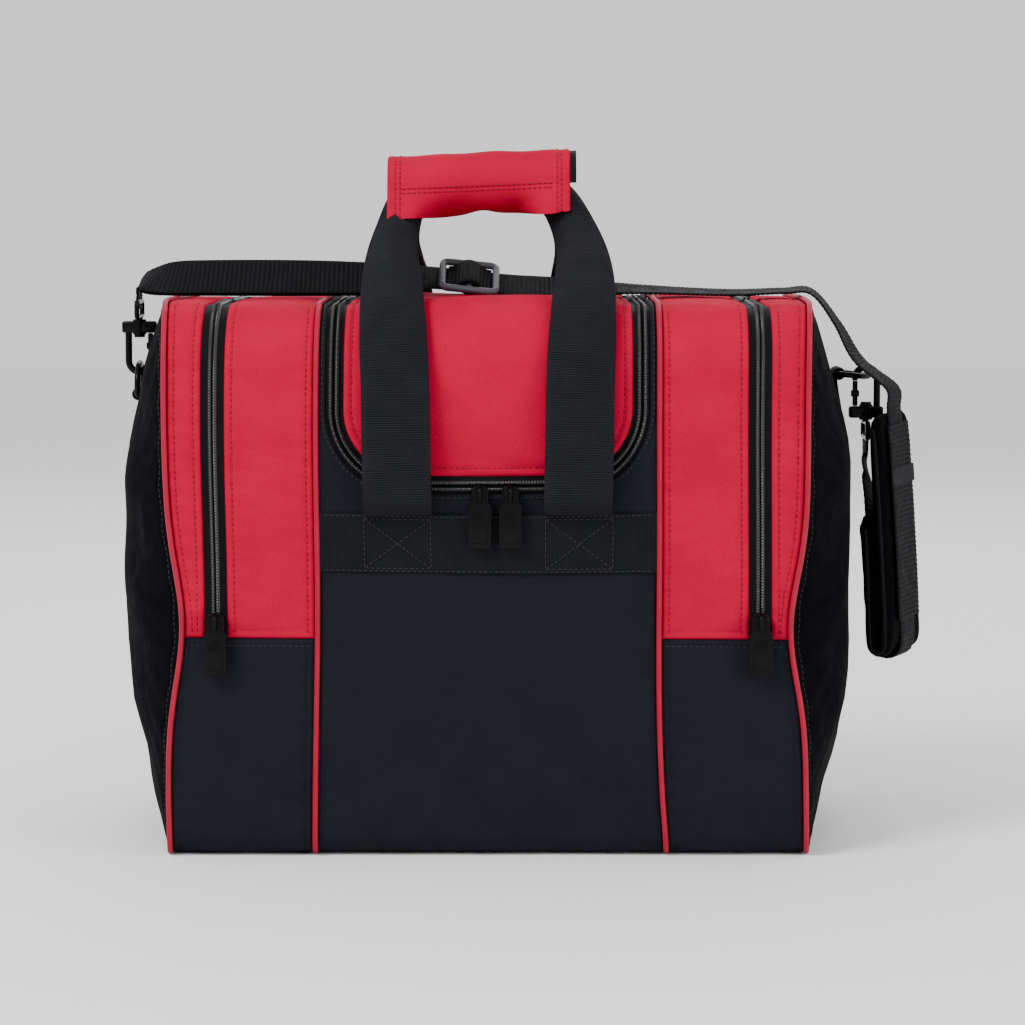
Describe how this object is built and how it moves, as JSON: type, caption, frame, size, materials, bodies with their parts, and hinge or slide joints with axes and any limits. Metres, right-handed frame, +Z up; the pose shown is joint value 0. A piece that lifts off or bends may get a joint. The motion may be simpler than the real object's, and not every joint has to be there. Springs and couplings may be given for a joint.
{
  "type": "bowling ball bag",
  "caption": "Soft single-ball tote with a U-zip lid, side pockets, carry handles joined by a wrap grip and a clip-on shoulder strap with folded pad.",
  "frame": {"origin": "on the ground under the middle of the base", "axes": "+X to the bag's right as seen from the front, the front faces -Y, +Z up"},
  "size_m": [0.4748, 0.2624, 0.3962],
  "materials": {
    "red_fabric": "woven polyester, matt, slight sheen",
    "black_fabric": "woven nylon, matt",
    "webbing": "ribbed webbing, matt",
    "zip_tape": "zip tape with moulded coil",
    "red_piping": "corded edge binding",
    "black_metal": "black lacquer, semi-gloss",
    "gray_plastic": "moulded, satin",
    "pad_foam": "foam pad with fabric face",
    "liner_board": "lined stiffener board, matt"
  },
  "bodies": {
    "bag": {"left_inner_pocket_strip": "red_fabric", "left_outer_pocket_strip": "red_fabric", "left_front_pocket_panel": "black_fabric", "left_back_panel": "black_fabric", "left_side_panel": "black_fabric", "left_inner_piping": "red_piping", "left_outer_piping": "red_piping", "left_pocket_zip": "zip_tape", "left_divider": "liner_board", "left_swivel_eye": "black_metal", "left_ring_tab": "webbing", "right_inner_pocket_strip": "red_fabric", "right_outer_pocket_strip": "red_fabric", "right_front_pocket_panel": "black_fabric", "right_back_panel": "black_fabric", "right_side_panel": "black_fabric", "right_inner_piping": "red_piping", "right_outer_piping": "red_piping", "right_pocket_zip": "zip_tape", "right_divider": "liner_board", "right_swivel_eye": "black_metal", "right_ring_tab": "webbing", "base_panel": "black_fabric", "front_centre_panel": "black_fabric", "back_centre_panel": "black_fabric", "base_board": "liner_board", "ball_ring": "pad_foam", "shoulder_pad": "pad_foam", "main_zip_body_tape": "zip_tape", "front_handle_band": "webbing", "rear_handle_band": "webbing", "shoulder_strap_left_run": "webbing", "shoulder_strap_right_run": "webbing", "shoulder_strap_pad_run": "webbing"},
    "lid": {"lid_top_panel": "red_fabric", "left_lid_zip": "zip_tape", "right_lid_zip": "zip_tape"},
    "lid_skirt": {"lid_front_panel": "red_fabric", "lid_front_zip": "zip_tape"},
    "front_handle": {"front_handle_webbing": "webbing", "grip_front_half": "red_fabric"},
    "rear_handle": {"rear_handle_webbing": "webbing", "grip_rear_half": "red_fabric"},
    "strap_adjuster": {"tri_glide": "gray_plastic"},
    "main_left_runner": {"main_left_slider": "black_metal"},
    "main_left_tab": {"main_left_pull": "black_metal"},
    "left_pocket_runner": {"left_pocket_slider": "black_metal"},
    "left_pocket_tab": {"left_pocket_pull": "black_metal"},
    "left_d_ring": {"left_ring": "black_metal"},
    "left_snap_hook": {"left_hook": "black_metal"},
    "left_hook_gate": {"left_gate": "black_metal"},
    "main_right_runner": {"main_right_slider": "black_metal"},
    "main_right_tab": {"main_right_pull": "black_metal"},
    "right_pocket_runner": {"right_pocket_slider": "black_metal"},
    "right_pocket_tab": {"right_pocket_pull": "black_metal"},
    "right_d_ring": {"right_ring": "black_metal"},
    "right_snap_hook": {"right_hook": "black_metal"},
    "right_hook_gate": {"right_gate": "black_metal"}
  },
  "joints": [
    {"name": "lid_hinge", "type": "hinge", "parent": "bag", "child": "lid", "pos_m": [0, 0.082, 0.308], "axis": [-1, 0, 0], "range_deg": [0, 100], "deforming": ["shoulder_strap_left_run", "shoulder_strap_right_run"]},
    {"name": "lid_skirt_fold", "type": "hinge", "parent": "lid", "child": "lid_skirt", "pos_m": [0, -0.111, 0.274], "axis": [1, 0, 0], "range_deg": [0, 100]},
    {"name": "front_handle_fold", "type": "hinge", "parent": "bag", "child": "front_handle", "pos_m": [0, -0.1188, 0.1935], "axis": [1, 0, 0], "range_deg": [0, 115]},
    {"name": "rear_handle_fold", "type": "hinge", "parent": "bag", "child": "rear_handle", "pos_m": [0, 0.1188, 0.1935], "axis": [-1, 0, 0], "range_deg": [0, 115]},
    {"name": "strap_adjuster_slide", "type": "slide", "parent": "lid", "child": "strap_adjuster", "axis": [1, 0, 0], "range_m": [-0.03, 0.03], "deforming": ["shoulder_strap_left_run", "shoulder_strap_right_run"]},
    {"name": "main_left_slider_slide", "type": "slide", "parent": "bag", "child": "main_left_runner", "axis": [-1, 0, 0], "range_m": [0, 0.018]},
    {"name": "main_left_pull_swing", "type": "hinge", "parent": "main_left_runner", "child": "main_left_tab", "pos_m": [-0.0045, -0.1221, 0.204], "axis": [-1, 0, 0], "range_deg": [0, 120]},
    {"name": "main_right_slider_slide", "type": "slide", "parent": "bag", "child": "main_right_runner", "axis": [1, 0, 0], "range_m": [0, 0.01]},
    {"name": "main_right_pull_swing", "type": "hinge", "parent": "main_right_runner", "child": "main_right_tab", "pos_m": [0.0125, -0.1221, 0.204], "axis": [-1, 0, 0], "range_deg": [0, 120]},
    {"name": "left_pocket_slider_slide", "type": "slide", "parent": "bag", "child": "left_pocket_runner", "axis": [0, 0, 1], "range_m": [0, 0.13]},
    {"name": "left_pocket_pull_swing", "type": "hinge", "parent": "left_pocket_runner", "child": "left_pocket_tab", "pos_m": [-0.1515, -0.1212, 0.133], "axis": [-1, 0, 0], "range_deg": [0, 120]},
    {"name": "right_pocket_slider_slide", "type": "slide", "parent": "bag", "child": "right_pocket_runner", "axis": [0, 0, 1], "range_m": [0, 0.13]},
    {"name": "right_pocket_pull_swing", "type": "hinge", "parent": "right_pocket_runner", "child": "right_pocket_tab", "pos_m": [0.1515, -0.1212, 0.133], "axis": [-1, 0, 0], "range_deg": [0, 120]},
    {"name": "left_d_ring_tilt", "type": "hinge", "parent": "bag", "child": "left_d_ring", "pos_m": [-0.2075, 0.024, 0.252], "axis": [0, 1, 0], "range_deg": [-3, 3]},
    {"name": "left_hook_swivel", "type": "hinge", "parent": "bag", "child": "left_snap_hook", "pos_m": [-0.2075, 0.024, 0.29215], "axis": [0, 0, 1], "range_deg": [-15, 15]},
    {"name": "left_gate_press", "type": "hinge", "parent": "left_snap_hook", "child": "left_hook_gate", "pos_m": [-0.201, 0.024, 0.28525], "axis": [0, 1, 0], "range_deg": [0, 25], "stiffness_Nm_per_rad": 0.02, "springref_deg": -5.73},
    {"name": "right_d_ring_tilt", "type": "hinge", "parent": "bag", "child": "right_d_ring", "pos_m": [0.2065, 0.024, 0.264], "axis": [0, 1, 0], "range_deg": [-3, 3]},
    {"name": "right_hook_swivel", "type": "hinge", "parent": "bag", "child": "right_snap_hook", "pos_m": [0.2235, 0.024, 0.24005], "axis": [0, 0, 1], "range_deg": [-15, 15]},
    {"name": "right_gate_press", "type": "hinge", "parent": "right_snap_hook", "child": "right_hook_gate", "pos_m": [0.217, 0.024, 0.24695], "axis": [0, 1, 0], "range_deg": [0, 25], "stiffness_Nm_per_rad": 0.02, "springref_deg": -5.73}
  ],
  "couplings": [
    {"joint": "lid_skirt_fold", "follows": "lid_hinge", "ratio": 1},
    {"joint": "front_handle_fold", "follows": "lid_hinge", "ratio": 1.15},
    {"joint": "rear_handle_fold", "follows": "lid_hinge", "ratio": 1.15}
  ]
}
